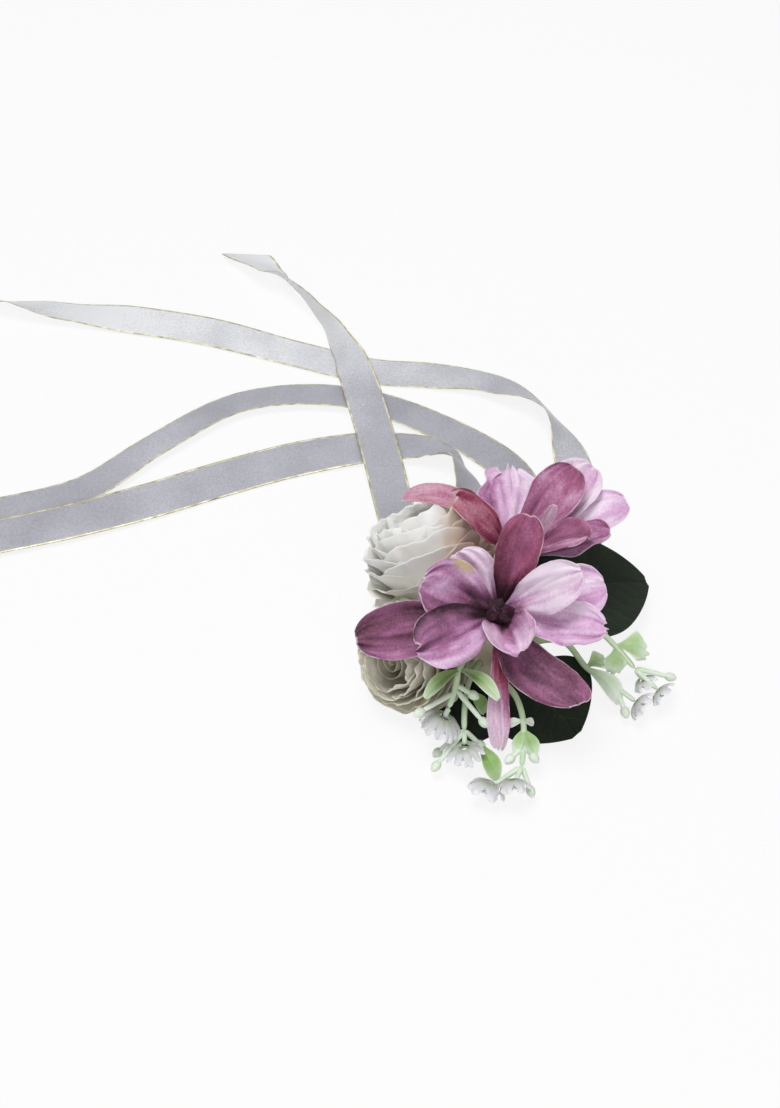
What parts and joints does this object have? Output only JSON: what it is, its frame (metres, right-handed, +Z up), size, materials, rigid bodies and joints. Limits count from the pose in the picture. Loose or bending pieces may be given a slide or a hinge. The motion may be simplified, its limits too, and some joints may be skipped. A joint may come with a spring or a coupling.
{
  "type": "wrist corsage",
  "caption": "Wrist corsage of cloth roses and mauve blossoms with leaves and filler sprigs, glued to a round felt pad, with long sheer ribbon tails that tie round the wrist.",
  "frame": {"origin": "middle of the felt base pad's underside, which lies on the table", "axes": "+Z up out of the pad, +Y away from the viewer to where the ribbons leave, +X to the viewer's right"},
  "size_m": [0.248, 0.2189, 0.0595],
  "materials": {
    "felt": "matte",
    "organza": "satin",
    "rose_cloth": "matte",
    "rose_core": "matte",
    "mauve_cloth": "matte",
    "stamen": "matte",
    "stem": "matte",
    "leaf_cloth": "matte",
    "sprig": "satin",
    "floret": "satin",
    "glue": "satin"
  },
  "bodies": {
    "root": {"felt_base_pad": "felt", "felt_cover_pad": "felt", "ribbon_outer_band": "organza", "ribbon_inner_band": "organza", "ribbon_tail_outer_left": "organza", "ribbon_tail_outer_right": "organza", "ribbon_tail_inner_right": "organza", "ribbon_tail_inner_left": "organza", "back_rose_outer_petals": "rose_cloth", "back_rose_middle_petals": "rose_cloth", "back_rose_inner_petals": "rose_cloth", "front_rose_outer_petals": "rose_cloth", "front_rose_middle_petals": "rose_cloth", "front_rose_inner_petals": "rose_cloth", "back_rose_bud": "rose_core", "front_rose_bud": "rose_core", "front_blossom_lower_petals": "mauve_cloth", "front_blossom_middle_petals": "mauve_cloth", "front_blossom_upper_petals": "mauve_cloth", "rear_blossom_lower_petals": "mauve_cloth", "rear_blossom_middle_petals": "mauve_cloth", "rear_blossom_upper_petals": "mauve_cloth", "front_blossom_stamen": "stamen", "rear_blossom_stamen": "stamen", "back_rose_stem": "stem", "front_rose_stem": "stem", "front_blossom_stem": "stem", "rear_blossom_stem": "stem", "leaf_right": "leaf_cloth", "leaf_front_right": "leaf_cloth", "leaf_front_left": "leaf_cloth", "leaf_rear": "leaf_cloth", "sprig_front_left": "sprig", "sprig_front_middle": "sprig", "sprig_front_right": "sprig", "sprig_side_upper": "sprig", "sprig_side_lower": "sprig", "floret_front_left": "floret", "floret_front_middle": "floret", "floret_front_low": "floret", "floret_front_right": "floret", "floret_side_upper": "floret", "floret_side_far": "floret", "floret_side_lower": "floret", "glue_mound": "glue"}
  },
  "joints": []
}
